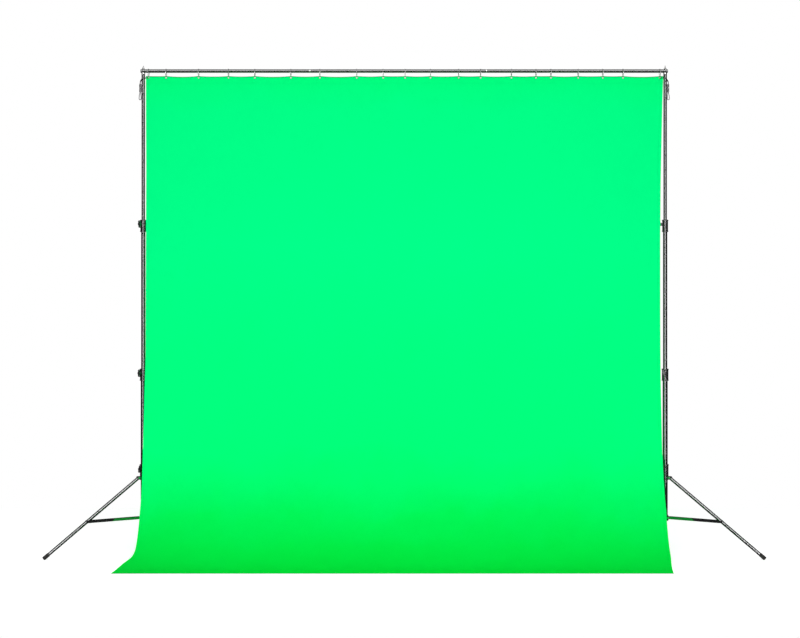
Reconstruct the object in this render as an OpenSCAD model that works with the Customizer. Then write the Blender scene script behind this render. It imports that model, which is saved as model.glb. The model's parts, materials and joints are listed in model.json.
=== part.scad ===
// Background support system: two folding light stands, a three-section crossbar and a ringed cloth.
// Frame: X to the right, Y to the back, Z up, in millimetres. The origin is on the floor, at the
// centre of the whole footprint. The left stand is at -X. Everything is drawn set up for use.

/* [Overall] */
// Length of the assembled crossbar
bar_length = 3000; // [2980:1:3040]
// Height of the crossbar's centre line
bar_height = 2743; // [2735:1:2760]
// Outer diameter of the crossbar
bar_d = 20; // [19:0.5:20]

/* [Posts] */
// Outer diameter of the base tube
base_tube_d = 29; // [28.5:0.5:29]
// Outer diameter of the middle tube
mid_tube_d = 24.5; // [24:0.5:24.5]
// Outer diameter of the top tube
top_tube_d = 20; // [19:0.5:20]
// Wall of all the tubes
tube_wall = 1.2; // [1:0.1:1.2]
// Height of the lower end of the base collar
base_collar_z = 981; // [980:1:983]
// Height of the lower end of the middle collar
mid_collar_z = 1828; // [1820:1:1832]
// Length of both collars
collar_h = 68; // [66:1:70]

/* [Knobs] */
// Span of the two-winged locking knobs
knob_d = 42; // [36:1:42]
// Width of the locking knobs' wings
knob_w = 14; // [12:1:16]
// Turn of the left middle knob from the front towards -X
left_mid_turn = 38; // [30:1:90]
// Turn of the left base knob from the front towards -X
left_base_turn = 45; // [30:1:90]
// Turn of the right middle knob from the front towards -X
right_mid_turn = 100; // [95:1:110]
// Turn of the right base knob from the front towards -X
right_base_turn = 20; // [10:1:20]
// Turn of both slider knobs from the front towards -X
slider_turn = 35; // [25:1:40]

/* [Legs] */
// Diameter of the leg tubes
leg_d = 19; // [18:0.5:19]
// Length of a leg from its pivot to the end of its tube
leg_length = 690; // [690:1:690]
// Distance of the leg pivots from the post's axis
leg_pivot_r = 29; // [29:0.5:30]
// Height of the leg pivots
leg_pivot_z = 429; // [429:1:429]
// Spread of the legs from the vertical
leg_angle = 52.9; // [52.9:0.1:52.9]
// Distance along a leg from its pivot to the brace rivet
brace_on_leg = 383.7; // [380:0.1:386]
// Distance of the brace pivots from the post's axis
brace_pivot_r = 24; // [24:0.5:24]
// Height of the brace pivots
brace_pivot_z = 203; // [200:1:206]
// Diameter of the rubber foot caps
foot_d = 22; // [21.5:0.5:24]

/* [Rings] */
// Wire diameter of the curtain rings
ring_wire = 3; // [2.5:0.5:3]
// Clear inner diameter of the curtain rings
ring_id = 44; // [44:1:44]

/* [Cloth] */
// Thickness of the cloth with its nap
cloth_t = 1.2; // [1:0.1:1.2]
// Height of the cloth's top edge
cloth_top = 2714; // [2712:1:2716]
// Radius of the sweep between the wall part and the floor part
sweep_r = 620; // [600:5:625]
// Distance of the sweep's centre in front of the crossbar
sweep_out = 665; // [665:5:680]
// Distance of the cloth's front edge from the crossbar
cloth_out = 810; // [780:5:830]

/* [Hidden] */

$fn = 48;
left = -1;
right = 1;
black = "#17171a";
soft_black = "#202023";
bright = "#c9ccd0";
green = "#05f57f";

// Radial clearance of sliding and turning fits, and the gap between loose neighbours
fit = 0.05;
gap = 0.3;

// Directions of the legs round each post: outer and inner lean 30 degrees to the front
outer_way = [210, 330];
inner_way = [330, 210];
rear_way = [90, 90];
function way(ways, side) = side == left ? ways[0] : ways[1];
function from_front(turn) = 270 - turn;

base_r = base_tube_d / 2;
mid_r = mid_tube_d / 2;
top_r = top_tube_d / 2;
bar_r = bar_d / 2;
leg_r = leg_d / 2;
foot_r = foot_d / 2;

// Posts
stud_inset = 15;
post_x = bar_length / 2 - stud_inset;
tube_bottom = 188;
base_top = base_collar_z + collar_h - 5;
mid_bottom = 950;
mid_top = mid_collar_z + collar_h - 6;
top_bottom = 1800;
shoulder_h = 8;
top_end = bar_height - bar_r - shoulder_h;
guide_h = 30;

// Collars, their bosses and the knobs
base_collar_r = 18.5;
mid_collar_r = 16.5;
rim_h = 6;
rim_out = 1.5;
boss_r = 8;
boss_reach = 21.7;
screw_r = 3;
knob_up = 43;
knob_at = 24;
knob_h = 10;
knob_cap_h = 1;

// How far each knob's wings are turned about its screw; at 0 they point up and down
left_base_roll = 0;
right_base_roll = 20;
left_mid_roll = 5;
right_mid_roll = 90;
left_slider_roll = -12;
right_slider_roll = 15;

// Leg slider
slider_bottom = 417;
slider_top = 505;
slider_r = 18.9;
slider_knob_z = 480;
ear_t = 4;
ear_r = 9;
ear_in = leg_r + 0.4;
rivet_r = 3;
rivet_head_r = 5.2;
rivet_head_h = 2;

// Feet
foot_sleeve = 28;
foot_end = 10;
foot_chamfer = 1.5;
foot_edge = foot_r - foot_chamfer;
foot_reach = leg_pivot_r + (leg_length + foot_end) * sin(leg_angle) + foot_edge * cos(leg_angle);
stand_y = (cloth_out - foot_reach) / 2;

// Braces and their hub
hub_bottom = 185;
hub_h = 30;
hub_r = 19;
lug_r = 7;
lug_w = 20;
strap_w = 15;
strap_t = 2;
strap_in = lug_w / 2 + gap;
strap_out = strap_in + strap_t;
brace_end = [leg_pivot_r + brace_on_leg * sin(leg_angle), leg_pivot_z - brace_on_leg * cos(leg_angle)];
brace_run = brace_end - [brace_pivot_r, brace_pivot_z];
brace_length = norm(brace_run);
brace_tilt = atan2(brace_run[1], brace_run[0]);

// Crossbar
joint_x = [-536, 467];
joint_w = 8;
sleeve_in = 60;
sleeve_wall = 1.5;
cap_t = 3;
cap_plug = 6;
stud_r = 3.175;
stud_hole_r = 3.4;
groove_r = 2.8;
nut_bottom = bar_height + bar_r + gap;
nut_h = 7.2;
nut_r = 6.5;
wing_reach = 13.5;
wing_rise = 13;
wing_t = 2.4;
stud_free = 10;

// Rings, where they were slid by hand, and the eyelets in the cloth
ring_x = [
    -1455, -1355, -1170, -1000, -850, -645, -480, -270, -120, 5,
    150, 310, 435, 610, 750, 835, 990, 1130, 1245, 1455
];
ring_r = (ring_id + ring_wire) / 2;
ring_z = bar_height + bar_r - ring_id / 2 + fit;
eyelet_hole_r = 4;
eyelet_barrel_r = 4.8;
eyelet_flange_r = 7;
eyelet_flange_t = 0.75;
eyelet_z = ring_z - ring_id / 2 - eyelet_hole_r + 0.2;

// Cloth outline: side edges seen from the front as [x, z], and of the floor part seen from above
// as [x, distance in front of the crossbar]
cloth_split = 1660;
upper_left = [[-1470, cloth_top + 1], [-1467, 2200], [-1467.5, cloth_split]];
upper_right = [[1454, cloth_split], [1454, 1850], [1462, 2450], [1471, cloth_top + 1]];
sweep_out_split = 160;
sweep_z_split = 250;
loose_x = 1600;
lower_left = [[-1467.5, cloth_split], [-1467.5, 1100], [-1474, 840], [-1481, 600], [-1482, 480],
    [-1480, sweep_z_split]];
lower_right = [[1469, sweep_z_split], [1467, 500], [1459, 830], [1455, 960], [1454, 1350],
    [1454, cloth_split]];
floor_left = [
    [-1480, sweep_out_split], [-1475, 300], [-1482, 450], [-1506, 550], [-1534, cloth_out + 1]
];
floor_right = [[1408, cloth_out + 1], [1437, 550], [1449, 450], [1458, 300], [1469, sweep_out_split]];

// Cloth profile as [distance in front of the crossbar, z]: a tangent from the top edge to the sweep
sweep_z = sweep_r + cloth_t / 2;
to_top = [-sweep_out, cloth_top - sweep_z];
sweep_start = atan2(to_top[1], to_top[0]) + acos(sweep_r / norm(to_top));
sweep_steps = 24;
function on_sweep(r, a) = [sweep_out + r * cos(a), sweep_z + r * sin(a)];
function sweep_angle(i) = sweep_start + (270 - sweep_start) * i / sweep_steps;
function sweep_arc(r) = [for (i = [0:sweep_steps]) on_sweep(r, sweep_angle(i))];
function flip(list) = [for (i = [len(list) - 1:-1:0]) list[i]];
wall_normal = [cos(sweep_start), sin(sweep_start)];

// Corner ties, as [outward from the post, forward, z]. The tail hangs out of the lock's lower end
// beside the post. The hitch goes from the lock's upper end round the front of the post to the
// eyelet, and its mirror image comes back round the rear. Their ends meet inside the lock.
tie_r = 1.8;
tie_sides = 8;
tie_meet = 2660;
tail_seen_from = [18, -60, 2620];
tie_tail = [
    [14.8, 0, tie_meet], [14.8, 0, 2642], [14.8, 0, 2624], [14.6, 0, 2616], [13.8, 0, 2607],
    [12.9, 0, 2598], [12.5, 0, 2590], [12.5, 0, 2585], [14.1, 0, 2581], [18.1, 0, 2579.2],
    [22.1, 0, 2581], [23.6, 0, 2585], [23.6, 0, 2590], [23.2, 0, 2598], [22, 0, 2607],
    [19.9, 0, 2616], [18.8, 0, 2624], [18.8, 0, 2642], [18.8, 0, tie_meet]
];
hitch_seen_from = [-4, 0, 2660];
hitch_start = [[18.8, 0, tie_meet + fit], [18.8, 0, 2668]];
hitch_half = [
    [17.8, 2.6, 2675], [16.2, 5.6, 2682], [13.2, 9.2, 2689], [8.4, 11.9, 2695], [2, 13.2, 2699.4],
    [-4, 12.8, 2702.2], [-11, 10.4, 2703.4], [-18, 7.4, 2703.4], [-24.8, 5.2, 2703.4],
    [-28.5, 3.7, 2703.4]
];
hitch_eyelet = [-30, 0, 2703.4];
hitch_end = [[14.8, 0, 2668], [14.8, 0, tie_meet + fit]];

// Cord locks; their buttons are pressed in from the front
lock_at = 16.8;
lock_bottom = 2624;
lock_h = 44;
lock_r = 6.3;
lock_channel_r = 4.1;
rib_pitch = 4;
rib_depth = 0.5;
button_z = 2646;
button_in = 4.4;
button_out = 8.4;
button_w = 4.7;
button_h = 8.5;

// ---------- helpers ----------

module at_stand(side) {
    translate([side * post_x, stand_y, 0]) children();
}

// Points a child's Z axis straight out from the post, at a height
module radial(turn, z) {
    rotate([0, 0, turn]) translate([0, 0, z]) rotate([0, 90, 0]) children();
}

// A cylinder across a leg's plane, centred on it
module across(r, w) {
    rotate([90, 0, 0]) translate([0, 0, -w / 2]) cylinder(r = r, h = w);
}

module pipe(outer, inner, z0, z1) {
    difference() {
        translate([0, 0, z0]) cylinder(r = outer, h = z1 - z0);
        translate([0, 0, z0 - 1]) cylinder(r = inner, h = z1 - z0 + 2);
    }
}

module chamfered_disc(r, h, edge) {
    rotate_extrude() polygon([[0, 0], [r - edge, 0], [r, edge], [r, h - edge], [r - edge, h], [0, h]]);
}

// ---------- posts ----------

module base_tube(side, turn) {
    color(black) at_stand(side) difference() {
        pipe(base_r, base_r - tube_wall, tube_bottom, base_top - 0.1);
        radial(from_front(turn), base_collar_z + knob_up) cylinder(r = screw_r + 0.6, h = base_r + 5);
    }
}

module left_base_tube() base_tube(left, left_base_turn);
module right_base_tube() base_tube(right, right_base_turn);

module mid_tube(side, turn) {
    color(black) at_stand(side) difference() {
        pipe(mid_r, mid_r - tube_wall, mid_bottom, mid_top - 0.1);
        radial(from_front(turn), mid_collar_z + knob_up) cylinder(r = screw_r + 0.6, h = mid_r + 5);
    }
}

module left_mid_tube() mid_tube(left, left_mid_turn);
module right_mid_tube() mid_tube(right, right_mid_turn);

module top_tube(side) {
    color(black) at_stand(side) pipe(top_r, top_r - tube_wall, top_bottom, top_end);
}

module left_top_tube() top_tube(left);
module right_top_tube() top_tube(right);

// A moulded collar: the outer tube ends in it, the inner tube slides in its lip
module collar(outer, holds_r, slides_r, z0, z_lip, turn) {
    difference() {
        union() {
            translate([0, 0, z0]) cylinder(r = outer, h = collar_h);
            translate([0, 0, z0]) cylinder(r = outer + rim_out, h = rim_h);
            translate([0, 0, z0 + collar_h - rim_h]) cylinder(r = outer + rim_out, h = rim_h);
            radial(turn, z0 + knob_up) cylinder(r = boss_r, h = boss_reach);
        }
        translate([0, 0, z0 - 1]) cylinder(r = holds_r + fit, h = z_lip - z0 + 1);
        translate([0, 0, z0]) cylinder(r = slides_r + fit, h = collar_h + 1);
        radial(turn, z0 + knob_up) cylinder(r = screw_r + fit, h = boss_reach + 1);
    }
}

module base_collar(side, turn) {
    color(soft_black) at_stand(side)
        collar(base_collar_r, base_r, mid_r, base_collar_z, base_top, from_front(turn));
}

module left_base_collar() base_collar(left, left_base_turn);
module right_base_collar() base_collar(right, right_base_turn);

module mid_collar(side, turn) {
    color(soft_black) at_stand(side)
        collar(mid_collar_r, mid_r, top_r, mid_collar_z, mid_top, from_front(turn));
}

module left_mid_collar() mid_collar(left, left_mid_turn);
module right_mid_collar() mid_collar(right, right_mid_turn);

// Nylon guides round the lower ends of the sliding tubes
module mid_guides() {
    color("white") for (side = [left, right]) at_stand(side)
        pipe(base_r - tube_wall - fit, mid_r + fit, mid_bottom, mid_bottom + guide_h);
}

module top_guides() {
    color("white") for (side = [left, right]) at_stand(side)
        pipe(mid_r - tube_wall - fit, top_r + fit, top_bottom, top_bottom + guide_h);
}

// Plug, shoulder and threaded stud; a groove sets the free end off from the nut's thread
module spigot(side) {
    stud_top = nut_bottom + nut_h + 1.5 + stud_free;
    color(bright) at_stand(side) difference() {
        union() {
            translate([0, 0, top_end - 20]) cylinder(r = top_r - tube_wall - fit, h = 20);
            translate([0, 0, top_end]) cylinder(r = top_r, h = shoulder_h - 0.1);
            translate([0, 0, top_end]) cylinder(r = stud_r, h = stud_top - top_end);
        }
        pipe(stud_r + 1, groove_r, stud_top - stud_free - 1, stud_top - stud_free);
    }
}

module left_spigot() spigot(left);
module right_spigot() spigot(right);

// ---------- knobs ----------

module knob(side, tip_r, turn, z, roll) {
    wing_at = (knob_d - knob_w) / 2;
    color(soft_black) at_stand(side) radial(from_front(turn), z) rotate([0, 0, roll]) {
        translate([0, 0, tip_r + gap]) cylinder(r = screw_r, h = knob_at - tip_r);
        translate([0, 0, boss_reach + gap]) cylinder(r = boss_r + 1, h = knob_at + knob_h - boss_reach);
        translate([0, 0, knob_at]) {
            translate([-wing_at, 1 - knob_w / 2, 0]) cube([2 * wing_at, knob_w - 2, knob_h - 1]);
            for (end = [-wing_at, wing_at]) translate([end, 0, 0])
                chamfered_disc(knob_w / 2, knob_h, 1.5);
            translate([0, 0, knob_h]) cylinder(r = boss_r - 1, h = knob_cap_h + gap);
        }
    }
}

module left_base_knob() knob(left, mid_r, left_base_turn, base_collar_z + knob_up, left_base_roll);
module right_base_knob() knob(right, mid_r, right_base_turn, base_collar_z + knob_up, right_base_roll);
module left_mid_knob() knob(left, top_r, left_mid_turn, mid_collar_z + knob_up, left_mid_roll);
module right_mid_knob() knob(right, top_r, right_mid_turn, mid_collar_z + knob_up, right_mid_roll);
module left_slider_knob() knob(left, base_r, slider_turn, slider_knob_z, left_slider_roll);
module right_slider_knob() knob(right, base_r, slider_turn, slider_knob_z, right_slider_roll);

// ---------- legs ----------

// Puts children in a leg's plane: X straight out from the post
module leg_plane(side, ways) {
    at_stand(side) rotate([0, 0, way(ways, side)]) children();
}

// Puts children's Z axis along a leg, from its pivot down to the foot
module along_leg(side, ways) {
    leg_plane(side, ways) translate([leg_pivot_r, 0, leg_pivot_z])
        rotate([0, 180 - leg_angle, 0]) children();
}

module leg_slider(side) {
    color(soft_black) at_stand(side) difference() {
        union() {
            translate([0, 0, slider_bottom]) cylinder(r = slider_r, h = slider_top - slider_bottom);
            translate([0, 0, slider_top - rim_h]) cylinder(r = slider_r + rim_out, h = rim_h);
            radial(from_front(slider_turn), slider_knob_z) cylinder(r = boss_r, h = boss_reach);
            for (ways = [outer_way, inner_way, rear_way]) rotate([0, 0, way(ways, side)]) slider_ears();
        }
        translate([0, 0, slider_bottom - 1])
            cylinder(r = base_r + fit, h = slider_top - slider_bottom + 2);
        radial(from_front(slider_turn), slider_knob_z) cylinder(r = screw_r + fit, h = boss_reach + 1);
        for (ways = [outer_way, inner_way, rear_way]) rotate([0, 0, way(ways, side)])
            translate([leg_pivot_r, 0, leg_pivot_z]) across(rivet_r + fit, 4 * ear_in);
    }
}

module slider_ears() {
    for (face = [ear_in, -ear_in - ear_t]) {
        translate([base_r / 2, face, leg_pivot_z - ear_r])
            cube([leg_pivot_r - base_r / 2, ear_t, 2 * ear_r]);
        translate([leg_pivot_r, face + ear_t / 2, leg_pivot_z]) across(ear_r, ear_t);
    }
}

module left_leg_slider() leg_slider(left);
module right_leg_slider() leg_slider(right);

module rivet(half_grip) {
    across(rivet_r, 2 * half_grip + 1);
    for (end = [-1, 1]) translate([0, end * (half_grip + gap + rivet_head_h / 2), 0])
        across(rivet_head_r, rivet_head_h);
}

module leg_rivets(side) {
    color(bright) for (ways = [outer_way, inner_way, rear_way]) leg_plane(side, ways)
        translate([leg_pivot_r, 0, leg_pivot_z]) rivet(ear_in + ear_t);
}

module left_leg_rivets() leg_rivets(left);
module right_leg_rivets() leg_rivets(right);

// Domed tube that turns on its rivet
module leg(side, ways) {
    color(black) along_leg(side, ways) difference() {
        union() {
            sphere(r = leg_r);
            cylinder(r = leg_r, h = leg_length);
        }
        translate([0, 0, leg_d]) cylinder(r = leg_r - tube_wall, h = leg_length);
        across(rivet_r + fit, leg_d + 2);
    }
}

module left_outer_leg() leg(left, outer_way);
module left_inner_leg() leg(left, inner_way);
module left_rear_leg() leg(left, rear_way);
module right_outer_leg() leg(right, outer_way);
module right_inner_leg() leg(right, inner_way);
module right_rear_leg() leg(right, rear_way);

// Rubber cap, worn flat where it stands on the floor
module foot(side, ways) {
    color(soft_black) intersection() {
        along_leg(side, ways) difference() {
            translate([0, 0, leg_length - foot_sleeve])
                chamfered_disc(foot_r, foot_sleeve + foot_end, foot_chamfer);
            translate([0, 0, leg_length - foot_sleeve - 1])
                cylinder(r = leg_r + fit, h = foot_sleeve + 1 + fit);
        }
        at_stand(side) translate([-700, -700, 0]) cube([1400, 1400, 200]);
    }
}

module left_outer_foot() foot(left, outer_way);
module left_inner_foot() foot(left, inner_way);
module left_rear_foot() foot(left, rear_way);
module right_outer_foot() foot(right, outer_way);
module right_inner_foot() foot(right, inner_way);
module right_rear_foot() foot(right, rear_way);

// ---------- braces ----------

module brace_hub(side) {
    color(soft_black) at_stand(side) difference() {
        union() {
            translate([0, 0, hub_bottom]) chamfered_disc(hub_r, hub_h, 1.5);
            for (ways = [outer_way, inner_way, rear_way]) rotate([0, 0, way(ways, side)]) {
                translate([base_r, -lug_w / 2, brace_pivot_z - lug_r])
                    cube([brace_pivot_r - base_r, lug_w, 2 * lug_r]);
                translate([brace_pivot_r, 0, brace_pivot_z]) across(lug_r, lug_w);
            }
        }
        translate([0, 0, tube_bottom - fit]) cylinder(r = base_r + fit, h = hub_h);
        for (ways = [outer_way, inner_way, rear_way]) rotate([0, 0, way(ways, side)])
            translate([brace_pivot_r, 0, brace_pivot_z]) across(rivet_r + fit, lug_w + 2);
    }
}

module left_brace_hub() brace_hub(left);
module right_brace_hub() brace_hub(right);

module hub_rivets() {
    color(bright) for (side = [left, right], ways = [outer_way, inner_way, rear_way])
        leg_plane(side, ways)
        translate([brace_pivot_r, 0, brace_pivot_z]) rivet(strap_out);
}

// Two flat straps, one each side of the leg, with their outer rivet heads
module brace(side, ways) {
    color(black) leg_plane(side, ways) translate([brace_pivot_r, 0, brace_pivot_z])
        rotate([0, -brace_tilt, 0])
        for (face = [-1, 1]) difference() {
            translate([0, face * (strap_in + strap_t / 2), 0]) {
                translate([0, -strap_t / 2, -strap_w / 2]) cube([brace_length, strap_t, strap_w]);
                across(strap_w / 2, strap_t);
                translate([brace_length, 0, 0]) across(strap_w / 2, strap_t);
                translate([brace_length, face * strap_t, 0]) across(rivet_head_r, rivet_head_h);
            }
            across(rivet_r + fit, 4 * strap_out);
        }
}

module left_outer_brace() brace(left, outer_way);
module left_inner_brace() brace(left, inner_way);
module left_rear_brace() brace(left, rear_way);
module right_outer_brace() brace(right, outer_way);
module right_inner_brace() brace(right, inner_way);
module right_rear_brace() brace(right, rear_way);

// ---------- crossbar ----------

// Puts children's Z axis along the crossbar, from an X position
module on_bar(x) {
    translate([x, stand_y, bar_height]) rotate([0, 90, 0]) children();
}

module bar_section(x0, x1) {
    color(black) difference() {
        on_bar(0) pipe(bar_r, bar_r - tube_wall, x0, x1);
        for (side = [left, right]) at_stand(side)
            translate([0, 0, bar_height - 2 * bar_r]) cylinder(r = stud_hole_r, h = 4 * bar_r);
    }
}

module left_crossbar_tube() bar_section(-bar_length / 2 + cap_t, joint_x[0] - joint_w / 2);
module middle_crossbar_tube() bar_section(joint_x[0] + joint_w / 2, joint_x[1] - joint_w / 2);
module right_crossbar_tube() bar_section(joint_x[1] + joint_w / 2, bar_length / 2 - cap_t);

module crossbar_joiners() {
    sleeve_r = bar_r - tube_wall - fit;
    color(bright) for (x = joint_x) on_bar(x) difference() {
        union() {
            translate([0, 0, fit - joint_w / 2]) cylinder(r = bar_r - 0.2, h = joint_w - 2 * fit);
            translate([0, 0, -sleeve_in]) cylinder(r = sleeve_r, h = 2 * sleeve_in);
        }
        translate([0, 0, -sleeve_in - 1]) cylinder(r = sleeve_r - sleeve_wall, h = 2 * sleeve_in + 2);
    }
}

module crossbar_end_caps() {
    inner_face = cap_t - fit;
    color(soft_black) for (side = [left, right]) on_bar(side * bar_length / 2)
        mirror([0, 0, side == left ? 0 : 1]) {
        rotate_extrude()
            polygon([[0, 0], [bar_r - 1, 0], [bar_r, 1], [bar_r, inner_face], [0, inner_face]]);
        cylinder(r = bar_r - tube_wall - fit, h = cap_t + cap_plug);
    }
}

module wing_nut(side) {
    color(bright) at_stand(side) translate([0, 0, nut_bottom]) difference() {
        union() {
            chamfered_disc(nut_r, nut_h, 0.8);
            for (way = [90, 270]) rotate([0, 0, way]) translate([0, wing_t / 2, 0]) rotate([90, 0, 0])
                linear_extrude(wing_t) polygon([
                    [4, 1], [nut_r, 1], [wing_reach - 2, 5], [wing_reach, wing_rise - 2],
                    [wing_reach - 2, wing_rise], [wing_reach - 4.5, wing_rise - 1], [nut_r, nut_h],
                    [4, nut_h]
                ]);
        }
        translate([0, 0, -1]) cylinder(r = stud_r + fit, h = wing_rise + 2);
    }
}

module left_wing_nut() wing_nut(left);
module right_wing_nut() wing_nut(right);

// ---------- rings and eyelets ----------

module curtain_rings() {
    color(bright) for (x = ring_x) translate([x, stand_y, ring_z]) rotate([0, 90, 0])
        rotate_extrude() translate([ring_r, 0]) circle(d = ring_wire);
}

module eyelets() {
    face = cloth_t / 2 + 0.25;
    edge = face + eyelet_flange_t;
    cloth_out_here = (cloth_top - eyelet_z) * tan(sweep_start - 180);
    color(green) for (x = ring_x) translate([x, stand_y - cloth_out_here, eyelet_z])
        rotate([90, 0, 0]) rotate_extrude() polygon([
            [eyelet_hole_r, -edge], [eyelet_flange_r, -edge], [eyelet_flange_r, -face],
            [eyelet_barrel_r, -face], [eyelet_barrel_r, face], [eyelet_flange_r, face],
            [eyelet_flange_r, edge], [eyelet_hole_r, edge]
        ]);
}

// ---------- corner ties ----------

module cord_locks() {
    color(soft_black) for (side = [left, right]) at_stand(side) translate([side * lock_at, 0, 0])
        difference() {
        union() {
            translate([0, 0, lock_bottom]) cylinder(r = lock_r - rib_depth, h = lock_h);
            for (z = [lock_bottom:rib_pitch:lock_bottom + lock_h - 1])
                translate([0, 0, z]) cylinder(r = lock_r, h = rib_pitch / 2);
        }
        translate([0, 0, lock_bottom - 1]) cylinder(r = lock_channel_r, h = lock_h + 2);
        translate([0, -lock_r, button_z])
            cube([button_w + 2 * gap, 2 * lock_r, button_h + 2 * gap], center = true);
    }
}

module lock_button(side) {
    color(black) at_stand(side) translate([side * lock_at, -(button_in + button_out) / 2, button_z])
        cube([button_w, button_out - button_in, button_h], center = true);
}

module left_lock_button() lock_button(left);
module right_lock_button() lock_button(right);

function unit(v) = v / norm(v);
// The direction of a path at one of its points
function heading(path, i) = unit(path[min(i + 1, len(path) - 1)] - path[max(i - 1, 0)]);
// A ring of points round a cord at one point of its path; seen_from keeps the rings from twisting
function cord_ring(path, i, seen_from) =
    let(along = heading(path, i),
        side_on = unit(cross(along, path[i] - seen_from)),
        upright = cross(side_on, along))
    [for (k = [0:tie_sides - 1])
        path[i] + tie_r * (cos(360 * k / tie_sides) * side_on + sin(360 * k / tie_sides) * upright)];
function corner(i, k) = i * tie_sides + k % tie_sides;

module cord(path, seen_from) {
    last = len(path) - 1;
    polyhedron(
        points = [for (i = [0:last]) each cord_ring(path, i, seen_from)],
        faces = concat(
            [[for (k = [tie_sides - 1:-1:0]) corner(0, k)]],
            [[for (k = [0:tie_sides - 1]) corner(last, k)]],
            [for (i = [0:last - 1], k = [0:tie_sides - 1], half = [0, 1])
                half == 0 ? [corner(i, k), corner(i, k + 1), corner(i + 1, k + 1)]
                    : [corner(i, k), corner(i + 1, k + 1), corner(i + 1, k)]]));
}

module tie_cords() {
    hitch_back = [for (p = flip(hitch_half)) [p[0], -p[1], p[2]]];
    hitch = concat(hitch_start, hitch_half, [hitch_eyelet], hitch_back, hitch_end);
    for (side = [left, right]) color(black) at_stand(side) mirror([side == left ? 1 : 0, 0, 0])
        mirror([0, 1, 0]) {
            cord(tie_tail, tail_seen_from);
            cord(hitch, hitch_seen_from);
        }
}

// ---------- cloth ----------

// The whole cloth's profile, drawn out sideways
module cloth_band() {
    outer = concat([[0, cloth_top] + wall_normal * cloth_t / 2], sweep_arc(sweep_r + cloth_t / 2),
        [[cloth_out, 0]]);
    inner = concat([[0, cloth_top] - wall_normal * cloth_t / 2], sweep_arc(sweep_r - cloth_t / 2),
        [[cloth_out, cloth_t]]);
    translate([-loose_x, 0, 0]) rotate([90, 0, 90]) linear_extrude(2 * loose_x)
        polygon([for (p = concat(outer, flip(inner))) [stand_y - p[0], p[1]]]);
}

// Keeps what lies inside an outline seen from the front
module front_cut(outline) {
    translate([0, stand_y + 100, 0]) rotate([90, 0, 0]) linear_extrude(cloth_out + 200) polygon(outline);
}

module backdrop_upper() {
    color(green) difference() {
        intersection() {
            cloth_band();
            front_cut(concat([for (p = upper_left) [p[0], max(p[1], cloth_split + gap)]],
                [for (p = upper_right) [p[0], max(p[1], cloth_split + gap)]]));
        }
        for (x = ring_x) translate([x, stand_y, eyelet_z]) rotate([90, 0, 0])
            translate([0, 0, -5]) cylinder(r = eyelet_barrel_r + 0.1, h = 10);
    }
}

module backdrop_lower() {
    loose_floor = [[-loose_x, sweep_z_split], [-loose_x, -1], [loose_x, -1], [loose_x, sweep_z_split]];
    from_above = concat([[-loose_x, 0], [-loose_x, sweep_out_split]], floor_left, floor_right,
        [[loose_x, sweep_out_split], [loose_x, 0]]);
    color(green) intersection() {
        cloth_band();
        front_cut(concat(lower_left, loose_floor, lower_right));
        translate([0, 0, -1]) linear_extrude(cloth_split + 10)
            polygon([for (p = from_above) [p[0], stand_y - p[1]]]);
    }
}

left_base_tube();
right_base_tube();
left_base_collar();
right_base_collar();
left_brace_hub();
right_brace_hub();
hub_rivets();
backdrop_lower();
left_mid_tube();
right_mid_tube();
left_mid_collar();
right_mid_collar();
mid_guides();
left_top_tube();
right_top_tube();
left_spigot();
right_spigot();
top_guides();
tie_cords();
cord_locks();
left_lock_button();
right_lock_button();
left_crossbar_tube();
middle_crossbar_tube();
right_crossbar_tube();
crossbar_joiners();
crossbar_end_caps();
curtain_rings();
eyelets();
backdrop_upper();
left_wing_nut();
right_wing_nut();
left_base_knob();
right_base_knob();
left_mid_knob();
right_mid_knob();
left_slider_knob();
right_slider_knob();
left_leg_slider();
right_leg_slider();
left_leg_rivets();
right_leg_rivets();
left_outer_leg();
left_inner_leg();
left_rear_leg();
right_outer_leg();
right_inner_leg();
right_rear_leg();
left_outer_foot();
left_inner_foot();
left_rear_foot();
right_outer_foot();
right_inner_foot();
right_rear_foot();
left_outer_brace();
left_inner_brace();
left_rear_brace();
right_outer_brace();
right_inner_brace();
right_rear_brace();
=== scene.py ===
# Looks of the background support system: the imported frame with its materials, the draped cloth with
# its hems and stitching, the corner ties, the studio light and the camera. Everything is in metres.
import json
import math
import bmesh
import bpy
import numpy as np
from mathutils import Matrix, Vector


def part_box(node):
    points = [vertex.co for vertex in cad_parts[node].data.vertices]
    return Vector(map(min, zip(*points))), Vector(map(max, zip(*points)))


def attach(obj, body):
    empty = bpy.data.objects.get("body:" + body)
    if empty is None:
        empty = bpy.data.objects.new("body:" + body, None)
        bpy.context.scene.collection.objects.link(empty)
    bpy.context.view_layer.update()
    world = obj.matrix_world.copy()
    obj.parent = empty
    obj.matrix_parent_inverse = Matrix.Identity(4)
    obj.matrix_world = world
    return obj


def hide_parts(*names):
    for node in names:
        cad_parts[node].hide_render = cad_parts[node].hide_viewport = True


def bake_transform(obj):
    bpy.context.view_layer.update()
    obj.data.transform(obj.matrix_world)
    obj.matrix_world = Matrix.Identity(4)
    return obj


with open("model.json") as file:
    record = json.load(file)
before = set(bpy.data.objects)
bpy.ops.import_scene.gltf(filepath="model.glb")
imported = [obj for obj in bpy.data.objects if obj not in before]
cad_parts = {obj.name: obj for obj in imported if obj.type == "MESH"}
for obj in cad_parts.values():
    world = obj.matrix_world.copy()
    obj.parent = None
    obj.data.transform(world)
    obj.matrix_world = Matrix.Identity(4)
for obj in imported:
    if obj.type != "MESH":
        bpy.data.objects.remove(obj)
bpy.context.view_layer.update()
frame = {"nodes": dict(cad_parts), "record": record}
MM = 0.001


# ---------- places taken from the frame ----------

def middle(node):
    low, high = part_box(node)
    return (low + high) / 2


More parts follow.
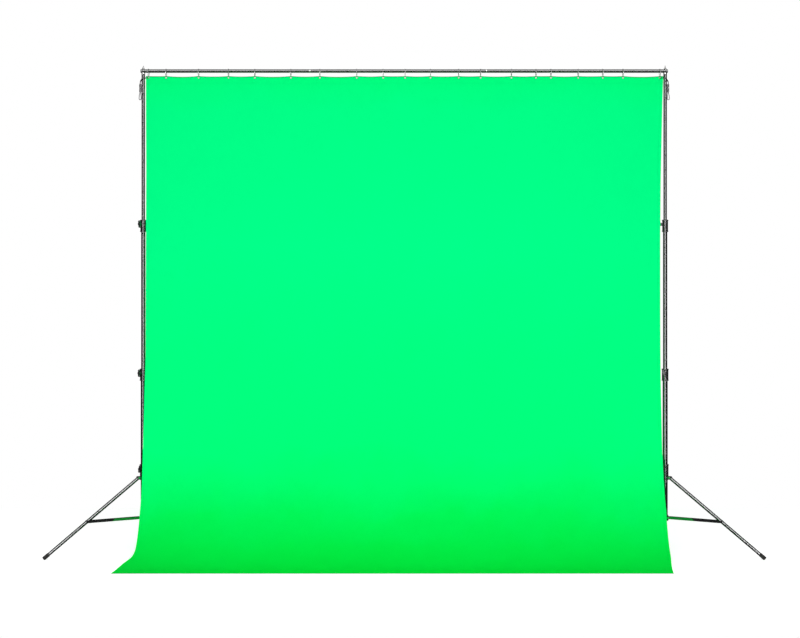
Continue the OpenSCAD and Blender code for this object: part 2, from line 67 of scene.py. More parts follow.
POST_X = middle("right_top_tube").x
STAND_Y = middle("right_top_tube").y
CLOTH_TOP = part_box("backdrop_upper")[1].z
CLOTH_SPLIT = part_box("backdrop_lower")[1].z
CLOTH_OUT = STAND_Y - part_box("backdrop_lower")[0].y
EYELET_Z = middle("eyelets").z
RING_X = (
    -1.455, -1.355, -1.170, -1.000, -0.850, -0.645, -0.480, -0.270, -0.120, 0.005,
    0.150, 0.310, 0.435, 0.610, 0.750, 0.835, 0.990, 1.130, 1.245, 1.455,
)


# ---------- camera ----------

CAMERA_LENS = 79.07
CAMERA_X = -0.024
CAMERA_AWAY = 10.0
CAMERA_Z = 1.332


def add_camera():
    """A level camera straight in front, its distance taken from the plane of the posts."""
    data = bpy.data.cameras.new("camera")
    data.lens = CAMERA_LENS
    data.sensor_width = 36
    data.clip_end = 200
    camera = bpy.data.objects.new("camera", data)
    camera.location = (CAMERA_X, STAND_Y - CAMERA_AWAY, CAMERA_Z)
    camera.rotation_euler = (math.radians(90), 0, 0)
    bpy.context.scene.collection.objects.link(camera)
    bpy.context.scene.camera = camera


add_camera()
bpy.context.scene.view_settings.view_transform = "Standard"


# ---------- materials ----------

class Nodes:
    """A short way to write a node material."""

    def __init__(self, name, roughness, **shader):
        self.material = bpy.data.materials.new(name)
        self.material.use_nodes = True
        self.tree = self.material.node_tree
        self.shader = self.tree.nodes["Principled BSDF"]
        self.shader.inputs["Roughness"].default_value = roughness
        for key, value in shader.items():
            self.shader.inputs[key.replace("_", " ")].default_value = value

    def add(self, kind, settings=None, **inputs):
        n = self.tree.nodes.new(kind)
        for key, value in (settings or {}).items():
            setattr(n, key, value)
        for key, value in inputs.items():
            self.set(n.inputs[key.replace("_", " ")], value)
        return n

    def set(self, socket, value):
        if isinstance(value, bpy.types.NodeSocket):
            self.tree.links.new(value, socket)
        else:
            socket.default_value = value

    def place(self, scale=(1, 1, 1), uv=False):
        source = self.add("ShaderNodeTexCoord").outputs["UV" if uv else "Object"]
        return self.add("ShaderNodeMapping", Vector=source, Scale=scale).outputs["Vector"]

    def noise(self, vector, scale, detail=3.0, roughness=0.55):
        return self.add("ShaderNodeTexNoise", Vector=vector, Scale=scale, Detail=detail,
                        Roughness=roughness).outputs["Fac"]

    def span(self, value, low, high, start=0.0, end=1.0):
        n = self.add("ShaderNodeMapRange", Value=value)
        for key, v in (("From Min", start), ("From Max", end), ("To Min", low), ("To Max", high)):
            n.inputs[key].default_value = v
        return n.outputs["Result"]

    def math(self, operation, a, b):
        n = self.add("ShaderNodeMath", {"operation": operation})
        self.set(n.inputs[0], a)
        self.set(n.inputs[1], b)
        return n.outputs["Value"]

    def ramp(self, factor, *stops):
        n = self.add("ShaderNodeValToRGB", Fac=factor)
        elements = n.color_ramp.elements
        for element, (position, colour) in zip(elements, (stops[0], stops[-1])):
            element.position = position
            element.color = (*colour, 1)
        for position, colour in stops[1:-1]:
            elements.new(position).color = (*colour, 1)
        return n.outputs["Color"]

    def bump(self, height, distance, strength=1.0):
        n = self.add("ShaderNodeBump", Height=height, Distance=distance, Strength=strength)
        self.tree.links.new(n.outputs["Normal"], self.shader.inputs["Normal"])

    def colour(self, value):
        self.set(self.shader.inputs["Base Color"], value)

    def roughness(self, value):
        self.set(self.shader.inputs["Roughness"], value)


def tube_paint():
    """Gloss black coating: long faint draw lines, a little orange peel, rub marks where tubes slide."""
    m = Nodes("gloss_black_tube", 0.2, Specular_IOR_Level=1.0,
              Coat_Weight=1.0, Coat_Roughness=0.03, Coat_IOR=2.3)
    peel = m.noise(m.place(), 420, 2)
    lines = m.noise(m.place((60, 60, 1.5)), 14, 4)
    rub = m.noise(m.place((30, 30, 4)), 3, 5, 0.7)
    m.colour(m.ramp(rub, (0.3, (0.006, 0.006, 0.0065)), (0.72, (0.016, 0.016, 0.017))))
    m.roughness(m.span(m.math("MULTIPLY", lines, rub), 0.04, 0.1, 0.1, 0.5))
    m.bump(m.math("ADD", peel, lines), 0.000003)
    return m.material


def moulded_plastic():
    """Black moulded nylon: fine spark-eroded grain, greyer where it is handled."""
    m = Nodes("black_plastic", 0.3, Specular_IOR_Level=1.0,
              Coat_Weight=0.7, Coat_Roughness=0.14, Coat_IOR=1.9)
    grain = m.noise(m.place(), 2600, 2)
    wear = m.noise(m.place(), 60, 5, 0.65)
    m.colour(m.ramp(wear, (0.35, (0.008, 0.008, 0.009)), (0.75, (0.022, 0.022, 0.023))))
    m.roughness(m.span(wear, 0.2, 0.36, 0.3, 0.7))
    m.bump(grain, 0.00006, 0.6)
    return m.material


def rubber():
    """Foot caps: matt rubber with scuffs and floor dust near the ground."""
    m = Nodes("black_rubber", 0.8, Specular_IOR_Level=0.3)
    grain = m.noise(m.place(), 1500, 3)
    scuffs = m.noise(m.place((1, 1, 3)), 90, 6, 0.7)
    m.colour(m.ramp(scuffs, (0.4, (0.012, 0.012, 0.012)), (0.8, (0.06, 0.058, 0.055))))
    m.roughness(m.span(scuffs, 0.7, 0.95))
    m.bump(grain, 0.0003, 0.6)
    return m.material


def steel():
    """Bright zinc and nickel plate with fine turning marks."""
    m = Nodes("bright_steel", 0.2, Metallic=1.0)
    marks = m.noise(m.place((1, 1, 25)), 130, 4)
    tarnish = m.noise(m.place(), 25, 4, 0.6)
    m.colour(m.ramp(tarnish, (0.3, (0.62, 0.62, 0.61)), (0.7, (0.8, 0.8, 0.79))))
    m.roughness(m.span(marks, 0.12, 0.34, 0.25, 0.75))
    m.bump(marks, 0.00003)
    return m.material


def nylon():
    """Natural white sliding guides."""
    m = Nodes("white_nylon", 0.5, Subsurface_Weight=0.1)
    cloud = m.noise(m.place(), 80, 3)
    m.colour(m.ramp(cloud, (0.3, (0.72, 0.72, 0.68)), (0.7, (0.82, 0.82, 0.8))))
    m.roughness(m.span(cloud, 0.4, 0.6))
    m.bump(cloud, 0.0001, 0.4)
    return m.material


def grommet():
    """Green moulded eyelets, dyed to go with the cloth."""
    m = Nodes("green_plastic", 0.5, Specular_IOR_Level=0.2)
    cloud = m.noise(m.place(), 300, 3)
    m.colour(m.ramp(cloud, (0.3, (0.0, 0.5, 0.1)), (0.7, (0.0, 0.6, 0.13))))
    m.roughness(m.span(cloud, 0.42, 0.6))
    m.bump(cloud, 0.00008, 0.5)
    return m.material


THREAD_PITCH = 0.0007
BRAID_PITCH = 0.004
BRAID_YARNS = 5


def weave(m, pitch):
    """Height of a plain weave in the cloth's own UV metres: threads pass over and under in turn."""
    uv = m.add("ShaderNodeSeparateXYZ", Vector=m.add("ShaderNodeTexCoord").outputs["UV"])
    across, down = (m.math("SINE", m.math("MULTIPLY", uv.outputs[axis], math.pi / pitch), 0.0)
                    for axis in ("X", "Y"))
    return m.math("MULTIPLY", across, down)


def cloth(name, darken=1.0):
    """Dyed green muslin. Along its length it carries painted light: bluer up the wall, then darker and
    less blue towards the floor end as painted shade.
    """
    m = Nodes(name, 0.92, Specular_IOR_Level=0.02, Sheen_Weight=0.08, Sheen_Roughness=0.5)
    m.shader.inputs["Sheen Tint"].default_value = (0.0, 1.0, 0.3, 1.0)
    uv = m.add("ShaderNodeSeparateXYZ", Vector=m.add("ShaderNodeTexCoord").outputs["UV"])
    down = uv.outputs["Y"]
    blotch = m.noise(m.place((1, 1, 1), uv=True), 2.2, 4, 0.6)
    slub = m.noise(m.place((260, 26, 1), uv=True), 1.0, 3)
    share = m.span(down, 0.0, 1.0, 0.0, CLOTH_LENGTH)
    place = m.math("ADD", share, m.span(blotch, -0.02, 0.02, 0.3, 0.7))
    # the ramp lays painted light and painted shade along the cloth's length over its green dye
    dye_and_painted_light = m.ramp(place, *[(at, [c * darken for c in colour]) for at, colour in CLOTH_DYE_AND_PAINTED_LIGHT])
    fleck = m.add("ShaderNodeMix", {"data_type": "RGBA", "blend_type": "MULTIPLY"})
    fleck.inputs[0].default_value = 1.0
    m.set(fleck.inputs[6], dye_and_painted_light)
    m.set(fleck.inputs[7], m.ramp(slub, (0.25, (0.97, 0.97, 0.97)), (0.75, (1.0, 1.0, 1.0))))
    m.colour(fleck.outputs[2])
    m.bump(m.math("ADD", weave(m, THREAD_PITCH), slub), 0.00012, 0.8)
    return m.material


def cord_cover():
    """Black braided elastic: two sets of yarns cross in a slant round the cord, in its UV."""
    m = Nodes("black_cord", 0.75, Specular_IOR_Level=0.15)
    uv = m.add("ShaderNodeSeparateXYZ", Vector=m.add("ShaderNodeTexCoord").outputs["UV"])
    turns = m.math("MULTIPLY", uv.outputs["X"], BRAID_YARNS * 2 * math.pi)
    along = m.math("MULTIPLY", uv.outputs["Y"], 2 * math.pi / BRAID_PITCH)
    yarns = [m.math("SINE", m.math(way, turns, along), 0.0) for way in ("ADD", "SUBTRACT")]
    braid = m.math("MAXIMUM", yarns[0], yarns[1])
    fibres = m.noise(m.place(), 700)
    m.colour(m.ramp(fibres, (0.3, (0.004, 0.004, 0.004)), (0.8, (0.016, 0.016, 0.017))))
    m.roughness(m.span(braid, 0.85, 0.6))
    m.bump(braid, 0.00035, 0.8)
    return m.material


# ---------- the cloth's shape ----------

# The cloth hangs from the rings in a straight slant, turns through a round sweep and ends flat on
# the floor. "down" is the distance along it from its top edge, "out" the distance in front of the bar.
CLOTH_T = 0.0012
SWEEP_R = 0.620
SWEEP_OUT = 0.665
SWEEP_Z = SWEEP_R + CLOTH_T / 2
TOP_REACH = math.hypot(SWEEP_OUT, CLOTH_TOP - SWEEP_Z)
SWEEP_START = math.atan2(CLOTH_TOP - SWEEP_Z, -SWEEP_OUT) + math.acos(SWEEP_R / TOP_REACH)
WALL = math.sqrt(TOP_REACH ** 2 - SWEEP_R ** 2)
SWEEP = SWEEP_R * (1.5 * math.pi - SWEEP_START)
CLOTH_LENGTH = WALL + SWEEP + CLOTH_OUT - SWEEP_OUT

# Side edges: x at a height on the wall part, then x at a distance out on the sweep and the floor
LEFT_WALL = ((2.714, -1.470), (2.45, -1.469), (2.20, -1.467), (1.70, -1.4675), (1.10, -1.4675),
             (0.95, -1.472), (0.73, -1.477), (0.60, -1.481), (0.48, -1.482), (0.25, -1.480))
LEFT_FLOOR = ((0.30, -1.475), (0.39, -1.473), (0.45, -1.481), (0.53, -1.517), (0.62, -1.532),
              (0.81, -1.536))
RIGHT_WALL = ((2.714, 1.4745), (2.60, 1.470), (2.40, 1.465), (2.10, 1.458), (1.80, 1.4545),
              (1.35, 1.4535), (1.10, 1.454), (0.95, 1.455), (0.83, 1.4575), (0.62, 1.461),
              (0.50, 1.4645), (0.25, 1.467))
RIGHT_FLOOR = ((0.30, 1.458), (0.45, 1.449), (0.55, 1.437), (0.81, 1.408))

TOP_HEM = 0.046
SIDE_HEM = 0.018
FRONT_HEM = 0.020

# How deep the edge dips between rings and how far down that fades, the same for the folds below the
# rings, and the height of the slow waves
USUAL_GAP = 0.2
SAG = 0.0045
SAG_FADE = 0.18
FOLD = 0.0030
FOLD_FADE = 0.55
WAVE = 0.0014


def profile(down):
    """Out, height, and the unit normal's out and height, for distances down the cloth."""
    down = np.asarray(down, float)
    angle = SWEEP_START + np.clip(down - WALL, 0, SWEEP) / SWEEP_R
    n_out, n_z = -np.cos(angle), -np.sin(angle)
    on_wall = np.minimum(down - WALL, 0)
    on_floor = np.maximum(down - WALL - SWEEP, 0)
    out = SWEEP_OUT + SWEEP_R * np.cos(angle) + on_wall * n_z + on_floor
    z = SWEEP_Z + SWEEP_R * np.sin(angle) - on_wall * n_out
    return out, z, n_out, n_z


def down_at_height(z):
    if z >= SWEEP_Z + SWEEP_R * math.sin(SWEEP_START):
        return WALL - (z - SWEEP_Z - SWEEP_R * math.sin(SWEEP_START)) / -math.cos(SWEEP_START)
    return WALL + SWEEP_R * (math.pi + math.asin((SWEEP_Z - z) / SWEEP_R) - SWEEP_START)


def down_at_out(out):
    if out >= SWEEP_OUT:
        return WALL + SWEEP + out - SWEEP_OUT
    return WALL + SWEEP_R * (2 * math.pi - math.acos((out - SWEEP_OUT) / SWEEP_R) - SWEEP_START)


def smooth_edge(wall, floor):
    """A function from down to x, through the given places with their corners rounded."""
    places = [(down_at_height(z), x) for z, x in wall]
    places += [(down_at_out(out), x) for out, x in floor]
    fine = np.arange(-0.2, CLOTH_LENGTH + 0.2, 0.005)
    raw = np.interp(fine, *zip(*places))
    window = np.hanning(21)
    soft = np.convolve(np.pad(raw, 10, mode="edge"), window / window.sum(), "valid")
    return lambda down: np.interp(down, fine, soft)


left_edge = smooth_edge(LEFT_WALL, LEFT_FLOOR)
right_edge = smooth_edge(RIGHT_WALL, RIGHT_FLOOR)
RINGS = np.array(RING_X)


def between_rings(x):
    """How far x is through its gap between two rings, 0 to 1, the gap's width and its number."""
    k = np.clip(np.searchsorted(RINGS, x) - 1, 0, len(RINGS) - 2)
    gap = RINGS[k + 1] - RINGS[k]
    return np.clip((x - RINGS[k]) / gap, 0, 1), gap, k


def sag(x, down):
    """The top edge dips between its rings, more in a wide gap, and the dip dies out down the cloth."""
    share, gap, _ = between_rings(x)
    return SAG * (gap / USUAL_GAP) ** 2 * 4 * share * (1 - share) * np.exp(-down / SAG_FADE)


def ripple(x, down):
    """How far the cloth stands off its plain shape: soft folds below the rings, then slow waves."""
    share, gap, k = between_rings(x)
    ways = np.where(k % 2 == 0, 1, -0.7)
    folds = ways * np.sin(math.pi * share) ** 2 * gap / USUAL_GAP * np.exp(-down / FOLD_FADE)
    waves = (np.sin(2 * math.pi * x / 0.93 + 0.6 * down + 0.4)
             + 0.7 * np.sin(2 * math.pi * x / 0.41 - 0.5 * down + 2.1)
             + 0.5 * np.sin(2 * math.pi * (x / 1.9 + down / 1.3)))
    start = np.clip(down / 0.5, 0, 1)
    stop = np.clip((WALL + 0.5 - down) / 0.9, 0, 1)
    return (FOLD * folds + WAVE * waves * start) * stop * stop


def cloth_points(x, down):
    """Places and unit normals of the cloth's middle surface for grids of x and down."""
    def place(x, down):
        out, z, n_out, n_z = profile(down + sag(x, down))
        off = ripple(x, down)
        return np.stack([x, STAND_Y - out - off * n_out, z + off * n_z], -1)
    step = 0.002
    across = place(x + step, down) - place(x - step, down)
    along = place(x, down + step) - place(x, down - step)
    normals = np.cross(along, across)
    return place(x, down), normals / np.linalg.norm(normals, axis=-1, keepdims=True)


def spread(start, end, step):
    return list(np.linspace(start, end, max(1, round((end - start) / step)) + 1))


def grid(down, share, left, right):
    """x and down grids: rows down the cloth, and shares of the way from the left line to the right."""
    down = np.asarray(down, float)[:, None]
    share = np.asarray(share, float)[None, :]
    return left(down) + (right(down) - left(down)) * share, down + 0 * share


# Keeps the UV of the leftmost cloth positive
UV_SHIFT = 1.6


def slab(name, x, down, half_t, keep=None):
    """A closed sheet of cloth over a grid, with its UV in metres. keep says which cells are there."""
    places, normals = cloth_points(x, down)
    rows, cols = x.shape
    half = np.broadcast_to(np.asarray(half_t, float), x.shape)[..., None]
    front, back = places + normals * half, places - normals * half
    count = rows * cols
    there = np.ones((rows - 1, cols - 1), bool) if keep is None else keep
    faces = []

    def at(i, j):
        return i * cols + j
    for i in range(rows - 1):
        for j in range(cols - 1):
            if not there[i, j]:
                continue
            a, b, c, d = at(i, j), at(i + 1, j), at(i + 1, j + 1), at(i, j + 1)
            faces.append((a, b, c, d))
            faces.append((a + count, d + count, c + count, b + count))
            for p, q, ni, nj in ((a, b, i, j - 1), (b, c, i + 1, j), (c, d, i, j + 1), (d, a, i - 1, j)):
                if not (0 <= ni < rows - 1 and 0 <= nj < cols - 1 and there[ni, nj]):
                    faces.append((q, p, p + count, q + count))
    vertices = np.concatenate([front.reshape(-1, 3), back.reshape(-1, 3)])
    uv = np.stack([x + UV_SHIFT, down], -1).reshape(-1, 2)
    return finish_mesh(name, vertices, faces, np.concatenate([uv, uv]),
                       np.concatenate([normals.reshape(-1, 3), -normals.reshape(-1, 3)]))


def finish_mesh(name, vertices, faces, uv, normals=None):
    """An object with that mesh, without its unused points, smooth shaded."""
    used = np.unique(np.concatenate([np.asarray(f) for f in faces]))
    new = np.full(len(vertices), -1)
    new[used] = np.arange(len(used))
    mesh = bpy.data.meshes.new(name)
    mesh.from_pydata(vertices[used].tolist(), [], [[int(new[v]) for v in f] for f in faces])
    layer = mesh.uv_layers.new(name="UVMap")
    loops = np.zeros(len(mesh.loops), np.int32)
    mesh.loops.foreach_get("vertex_index", loops)
    layer.data.foreach_set("uv", uv[used][loops].astype(np.float32).ravel())
    mesh.shade_smooth()
    if normals is not None:
        mesh.normals_split_custom_set_from_vertices(normals[used].tolist())
    piece = bpy.data.objects.new(name, mesh)
    bpy.context.scene.collection.objects.link(piece)
    return piece


# One stitch's length, width and height, its shape end on (along, above) and the faces between its two
# sides. On the floor there is no thread underneath.
STITCH_PITCH = 0.005
STITCH = (0.0037, 0.0008, 0.0005)
STITCH_SIDE = ((-1, -1), (-0.6, 1), (0.6, 1), (1, -1))
STITCH_FACES = ((0, 1, 2, 3), (7, 6, 5, 4), (0, 4, 5, 1), (1, 5, 6, 2), (2, 6, 7, 3), (3, 7, 4, 0))
FLOOR_CLOTH_Z = 0.003


def stitches(name, lines, half_t):
    """Thread on both faces of a hem. Each line is arrays of x and down at every stitch."""
    vertices, faces, uv = [], [], []
    long, wide, tall = (v / 2 for v in STITCH)
    for x, down in lines:
        places, normals = cloth_points(x, down)
        ahead = np.gradient(places, axis=0)
        ahead /= np.linalg.norm(ahead, axis=1, keepdims=True)
        beside = np.cross(normals, ahead)
        stitch = [places, normals, ahead, beside, x, down]
        for face in (1, -1):
            if face < 0:
                above = places[:, 2] > FLOOR_CLOTH_Z
                stitch = [v[above] for v in stitch]
            for place, n, a, b, u, d in zip(*stitch):
                first = len(vertices)
                centre = place + n * face * (half_t + tall * 0.5)
                for side in (-1, 1):
                    for along, up in STITCH_SIDE:
                        reach = wide * side * (1 if up < 0 else 0.5)
                        vertices.append(centre + a * long * along + b * reach + n * face * tall * up)
                    uv += [(u + UV_SHIFT, d)] * 4
                faces += [tuple(first + i for i in f[::-face]) for f in STITCH_FACES]
    return finish_mesh(name, np.array(vertices), faces, np.array(uv))


# Its colour at shares of its length: an even green dye under painted light, bluer up the wall where more
# light falls, darker and less blue toward the floor end as painted shade
CLOTH_DYE_AND_PAINTED_LIGHT = (
    (0.0, (0.0, 0.93, 0.205)),
    (0.06, (0.0, 0.935, 0.23)),
    (0.3, (0.0, 0.95, 0.245)),
    (0.5, (0.0, 0.96, 0.215)),
    (0.66, (0.0, 0.96, 0.205)),
    (0.72, (0.0, 0.94, 0.165)),
    (0.79, (0.0, 0.90, 0.104)),
    (0.86, (0.0, 0.86, 0.072)),
    (0.95, (0.0, 0.82, 0.052)),
    (1.0, (0.0, 0.80, 0.045)),
)


# ---------- the cloth's pieces ----------

# Half thicknesses of the cloth, of its hems and of its bound edge, and how far the cloth goes under its
# hems. Then the rows and columns of its grids, and the bound edge's width and how far it stands past
HALF_MAIN = 0.0004
HALF_HEM = 0.0006
HALF_BINDING = 0.0008
LAP = 0.001
SPLIT = down_at_height(CLOTH_SPLIT)
FRONT = CLOTH_LENGTH - FRONT_HEM
CELL = 0.016
HEM_CELL = 0.005
BINDING = 0.004
BINDING_CELL = 0.0015
BINDING_PAST = 0.0005
COLUMNS = 184
FRONT_COLUMNS = 190
green = cloth("green_cloth")
# The top and front binding strips are coloured at 0.35 of the cloth's colour, a dark line along those
# edges
darker_edge = cloth("darker_green_edge", 0.35)
thread = cloth("green_thread", 0.85)


def left_inner(down):
    return left_edge(down) + SIDE_HEM


def right_inner(down):
    return right_edge(down) - SIDE_HEM


def dress(piece, material, *blends):
    """Give a cloth piece its finish. The bodies and heights in blends, that it would bend between, are
    not used.
    """
    piece.data.materials.append(material)
    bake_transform(piece)
    return piece


# Heights for the cloth to bend between, above the first with the bar and below the last staying put.
# They are passed on with each piece but not used.
BEND_TOP = (0, STAND_Y, 2.695)
BEND_SPLIT = (0, STAND_Y, CLOTH_SPLIT)
BEND_BOTTOM = (0, STAND_Y, 0.5)


def upper(piece, material):
    return dress(piece, material, "upper_stage", "lower_stage", BEND_TOP, BEND_SPLIT)


def lower(piece, material):
    return dress(piece, material, "lower_stage", "root", BEND_SPLIT, BEND_BOTTOM)


# The fine grid round each eyelet and the radius that is cut out of it
HOLE_CELL = 0.0015
HOLE_CUT = 0.0055


def hem_columns():
    """Shares across the top hem, with fine steps beside each ring."""
    first, last = float(left_edge(0)), float(right_edge(0))
    fine = [ring + HOLE_CELL * i for ring in RING_X for i in range(-5, 6)]
    places = [first] + fine + [last]
    for a, b in zip(places, places[1:]):
        if b - a > 0.02:
            places += spread(a, b, 0.013)[1:-1]
    return (np.array(sorted(places)) - first) / (last - first)


def top_hem():
    rows = [HOLE_CELL * i for i in range(12)] + spread(0.021, TOP_HEM, HEM_CELL)
    x, down = grid(rows, hem_columns(), left_edge, right_edge)
    middle_x, middle_down = ((v[:-1, :-1] + v[1:, 1:]) / 2 for v in (x, down))
    nearest = np.abs(middle_x[..., None] - RINGS).min(-1)
    keep = np.hypot(nearest, middle_down - (CLOTH_TOP - EYELET_Z)) > HOLE_CUT
    return slab("backdrop_top_hem", x, down, HALF_HEM, keep)


def side_hems(name, down):
    shares = np.linspace(0, 1, 4)
    return (slab(f"{name}_left_hem", *grid(down, shares, left_edge, left_inner), HALF_HEM),
            slab(f"{name}_right_hem", *grid(down, shares, right_inner, right_edge), HALF_HEM))


def main(name, down):
    x, down = grid(down, np.linspace(0, 1, COLUMNS),
                   lambda d: left_inner(d) - LAP, lambda d: right_inner(d) + LAP)
    return slab(name, x, down, HALF_MAIN)


def strip_across(name, down, shares, half_t):
    """A strip over the cloth's whole width."""
    return slab(name, *grid(down, shares, left_edge, right_edge), half_t)


def seam_across(at, start, end):
    x = np.arange(start + 0.004, end - 0.003, STITCH_PITCH)
    return x, np.full(len(x), at)


def seam_down(edge, inset, start, end):
    down = np.arange(start + 0.002, end - 0.001, STITCH_PITCH)
    return edge(down) + inset, down


upper_rows = spread(TOP_HEM - LAP, SPLIT, CELL)
lower_rows = spread(SPLIT, FRONT + LAP, CELL)
upper_sheet = upper(main("backdrop_upper_sheet", upper_rows), green)
lower_sheet = lower(main("backdrop_lower_sheet", lower_rows), green)
hem_top = upper(top_hem(), green)
upper_hems = [upper(p, green) for p in side_hems("backdrop_upper", upper_rows)]
lower_hems = [lower(p, green) for p in side_hems("backdrop_lower", lower_rows)]
front_shares = np.linspace(0, 1, FRONT_COLUMNS)
front_rows = spread(FRONT, CLOTH_LENGTH, HEM_CELL)
front_binding_rows = spread(CLOTH_LENGTH - BINDING, CLOTH_LENGTH + BINDING_PAST, BINDING_CELL)
hem_front = lower(strip_across("backdrop_front_hem", front_rows, front_shares, HALF_HEM), green)
bindings = [
    upper(strip_across("top_binding", (0.0, BINDING / 2, BINDING), hem_columns(), HALF_BINDING), darker_edge),
    lower(strip_across("front_binding", front_binding_rows, front_shares, HALF_HEM), darker_edge),
]
SEAM = SIDE_HEM - 0.003
side_seams = ((left_edge, SEAM), (right_edge, -SEAM))
upper_thread = upper(stitches("upper_thread", [
    seam_across(TOP_HEM - 0.004, float(left_edge(0)), float(right_edge(0))),
    seam_across(TOP_HEM - 0.010, float(left_edge(0)), float(right_edge(0))),
    *(seam_down(edge, inset, TOP_HEM, SPLIT) for edge, inset in side_seams)], HALF_HEM), thread)
lower_thread = lower(stitches("lower_thread", [
    *(seam_down(edge, inset, SPLIT, FRONT) for edge, inset in side_seams),
    seam_across(FRONT + 0.003, float(left_edge(FRONT)), float(right_edge(FRONT)))], HALF_HEM), thread)

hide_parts("backdrop_upper")
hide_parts("backdrop_lower")


# ---------- the corner ties ----------

# [outward from the post, forward, z] in mm. A tail hangs out of each lock beside the post, and a
# hitch goes from the lock round the front of the post to the corner eyelet and back round the rear.
TAIL = (
    (14.8, 0, 2626), (14.6, 0, 2616), (13.8, 0, 2607), (12.9, 0, 2598), (12.5, 0, 2590),
    (12.5, 0, 2585), (14.1, 0, 2581), (18.1, 0, 2579.2), (22.1, 0, 2581), (23.6, 0, 2585),
    (23.6, 0, 2590), (23.2, 0, 2598), (22, 0, 2607), (19.9, 0, 2616), (18.8, 0, 2626),
)
HITCH_FRONT = (
    (17.8, 2.6, 2675), (16.2, 5.6, 2682), (13.2, 9.2, 2689), (8.4, 11.9, 2695), (2, 13.2, 2699.4),
    (-4, 12.8, 2702.2), (-11, 10.4, 2703.4), (-18, 7.4, 2703.4), (-24.8, 5.2, 2703.4),
    (-28.5, 3.7, 2703.4),
)
HITCH_REAR = tuple((outward, -forward, z) for outward, forward, z in HITCH_FRONT[::-1])
HITCH = ((18.8, 0, 2660), *HITCH_FRONT, (-30, 0, 2703.4), *HITCH_REAR, (14.8, 0, 2662))
CORD_D = 0.0036
ROUND = 14
braid = cord_cover()


def smooth_line(points, steps=6):
    """Points along a smooth line through the given ones."""
    p = np.array([points[0], *points, points[-1]], float)
    t = (np.arange(steps) / steps)[:, None]
    line = [0.5 * (2 * b + (c - a) * t + (2 * a - 5 * b + 4 * c - d) * t ** 2
                   + (3 * b - a - 3 * c + d) * t ** 3)
            for a, b, c, d in zip(p, p[1:], p[2:], p[3:])]
    return np.concatenate([*line, p[-1:]])


def tie(name, side, points):
    """A round braided cord through those points beside the left (-1) or right (1) post."""
    line = smooth_line([(side * (POST_X + a * MM), STAND_Y - b * MM, z * MM) for a, b, z in points])
    ahead = np.gradient(line, axis=0)
    ahead /= np.linalg.norm(ahead, axis=1, keepdims=True)
    beside = np.cross(ahead[0], (0, 1, 0))
    run = np.concatenate([[0], np.cumsum(np.linalg.norm(np.diff(line, axis=0), axis=1))])
    turns = np.linspace(0, 2 * math.pi, ROUND + 1)
    vertices, uv = [], []
    for centre, forward, gone in zip(line, ahead, run):
        beside = beside - forward * np.dot(beside, forward)
        beside /= np.linalg.norm(beside)
        above = np.cross(forward, beside)
        for turn in turns:
            vertices.append(centre + CORD_D / 2 * (math.cos(turn) * beside + math.sin(turn) * above))
            uv.append((turn / (2 * math.pi), gone))

    def at(i, k):
        return i * (ROUND + 1) + k
    end = len(line) - 1
    faces = [(at(i, k), at(i, k + 1), at(i + 1, k + 1), at(i + 1, k)) for i in range(end)
             for k in range(ROUND)]
    faces += [tuple(at(0, k) for k in reversed(range(ROUND))), tuple(at(end, k) for k in range(ROUND))]
    piece = finish_mesh(name, np.array(vertices), faces, np.array(uv))
    weld(piece)
    piece.data.materials.append(braid)
    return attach(piece, "upper_stage"), line


def weld(piece):
    """Join the points that lie on each other, and leave the UV as it is."""
    mesh = bmesh.new()
    mesh.from_mesh(piece.data)
    bmesh.ops.remove_doubles(mesh, verts=mesh.verts, dist=1e-6)
    mesh.to_mesh(piece.data)
    mesh.free()


for side, word in ((-1, "left"), (1, "right")):
    tail, line = tie(f"{word}_tie_tail", side, TAIL)
    tie(f"{word}_tie_hitch", side, HITCH)
    if side < 0:
        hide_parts("tie_cords")


# ---------- finishes on the CAD's own parts ----------

FINISHES = {
    "gloss_black_tube": tube_paint(),
    "black_plastic": moulded_plastic(),
    "black_rubber": rubber(),
    "bright_steel": steel(),
    "white_nylon": nylon(),
    "green_cloth": green,
    "green_plastic": grommet(),
    "black_cord": braid,
}
for part in frame["record"]["subparts"]:
    node = frame["nodes"][part["node"]]
    node.data.materials.clear()
    node.data.materials.append(FINISHES[part["material_slot"]])


# ---------- the studio ----------

# The surround gives this much light to what isn't glossy, and this much to reflections
AROUND_LIGHT = 0.3
MIRRORED_LIGHT = 0.02
FLOOR_SIZE = (8.0, 5.0)
FLOOR_GLOW = 0.6


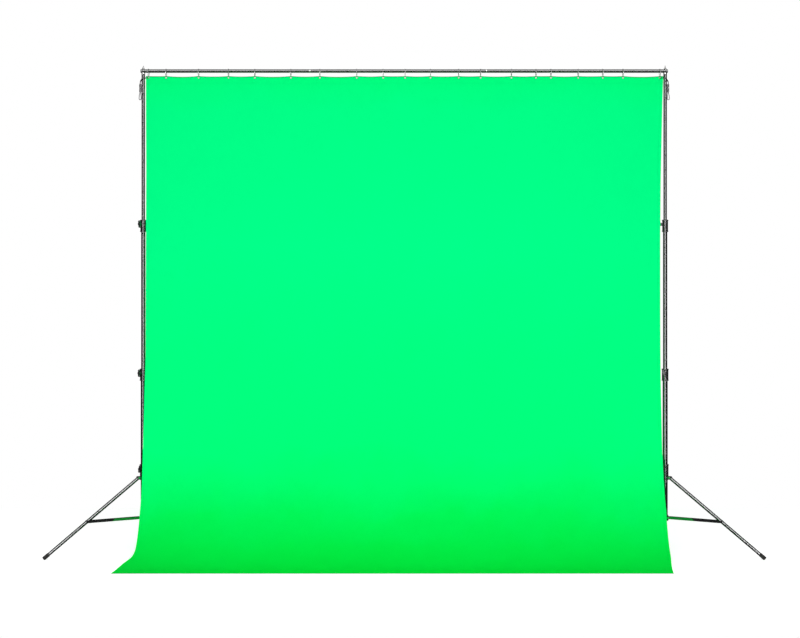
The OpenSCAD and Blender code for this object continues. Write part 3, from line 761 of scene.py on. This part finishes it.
def studio():
    """A white floor that glows a little, and a surround that the camera sees as plain white."""
    bpy.ops.mesh.primitive_plane_add(size=1, location=(0, 0, 0))
    floor = bpy.context.object
    floor.name = "studio_floor"
    floor.scale = (*FLOOR_SIZE, 1)
    white = Nodes("studio_white", 0.9, Specular_IOR_Level=0.0)
    cloud = white.noise(white.place(), 0.5)
    white.colour(white.ramp(cloud, (0.3, (0.94, 0.94, 0.94)), (0.7, (0.96, 0.96, 0.96))))
    white.shader.inputs["Emission Color"].default_value = (1, 1, 1, 1)
    white.shader.inputs["Emission Strength"].default_value = FLOOR_GLOW
    floor.data.materials.append(white.material)
    floor.visible_glossy = False

    world = bpy.data.worlds.new("studio")
    bpy.context.scene.world = world
    world.use_nodes = True
    nodes, links = world.node_tree.nodes, world.node_tree.links
    path = nodes.new("ShaderNodeLightPath")
    last = nodes["Background"]
    last.inputs["Strength"].default_value = AROUND_LIGHT
    for ray, light in (("Is Glossy Ray", MIRRORED_LIGHT), ("Is Camera Ray", 1.0)):
        here, mix = nodes.new("ShaderNodeBackground"), nodes.new("ShaderNodeMixShader")
        here.inputs["Color"].default_value = (1, 1, 1, 1)
        here.inputs["Strength"].default_value = light
        links.new(path.outputs[ray], mix.inputs["Fac"])
        links.new(last.outputs[0], mix.inputs[1])
        links.new(here.outputs[0], mix.inputs[2])
        last = mix
    nodes["Background"].inputs["Color"].default_value = (1, 1, 1, 1)
    links.new(last.outputs[0], nodes["World Output"].inputs["Surface"])


def panel(name, size, place, towards, power):
    """A soft light of that width and height and power in watts, which the camera doesn't see."""
    light = bpy.data.lights.new(name, "AREA")
    light.shape = "RECTANGLE"
    light.size, light.size_y = size
    light.energy = power
    lamp = bpy.data.objects.new(name, light)
    lamp.location = place
    lamp.rotation_euler = (Vector(place) - Vector(towards)).to_track_quat("Z", "Y").to_euler()
    lamp.visible_camera = False
    bpy.context.scene.collection.objects.link(lamp)
    return lamp


# The wide panel lights the cloth evenly and the top panel softens the floor end. What the gloss shows
# is three narrow panels that light nothing else, two upright for the posts and legs and one lying above
# for the crossbar, so each tube has a thin bright line. Distances are from the plane of the posts.
FRONT_AWAY, FRONT_Z = 6.5, 3.0
GLOSS_X, GLOSS_AWAY, GLOSS_Z = 3.6, 10.5, 1.9
BAR_GLOSS_AWAY, BAR_GLOSS_Z = 6.3, 4.7
BAR_Z = 2.74

studio()
front = panel("front_panel", (8.8, 5.8), (0, STAND_Y - FRONT_AWAY, FRONT_Z), (0, STAND_Y, FRONT_Z), 330)
front.visible_glossy = False
for x, name in ((-GLOSS_X, "left_gloss_panel"), (GLOSS_X, "right_gloss_panel")):
    gloss = panel(name, (0.8, 5.0), (x, STAND_Y - GLOSS_AWAY, GLOSS_Z), (x, STAND_Y, GLOSS_Z), 160)
    gloss.visible_diffuse = False
bar_gloss = panel("bar_gloss_panel", (8.8, 1.2), (0, STAND_Y - BAR_GLOSS_AWAY, BAR_GLOSS_Z),
                  (0, STAND_Y, BAR_Z), 260)
bar_gloss.visible_diffuse = False
panel("top_panel", (7.0, 4.0), (0, -1.0, 5.0), (0, -0.6, 0), 60)
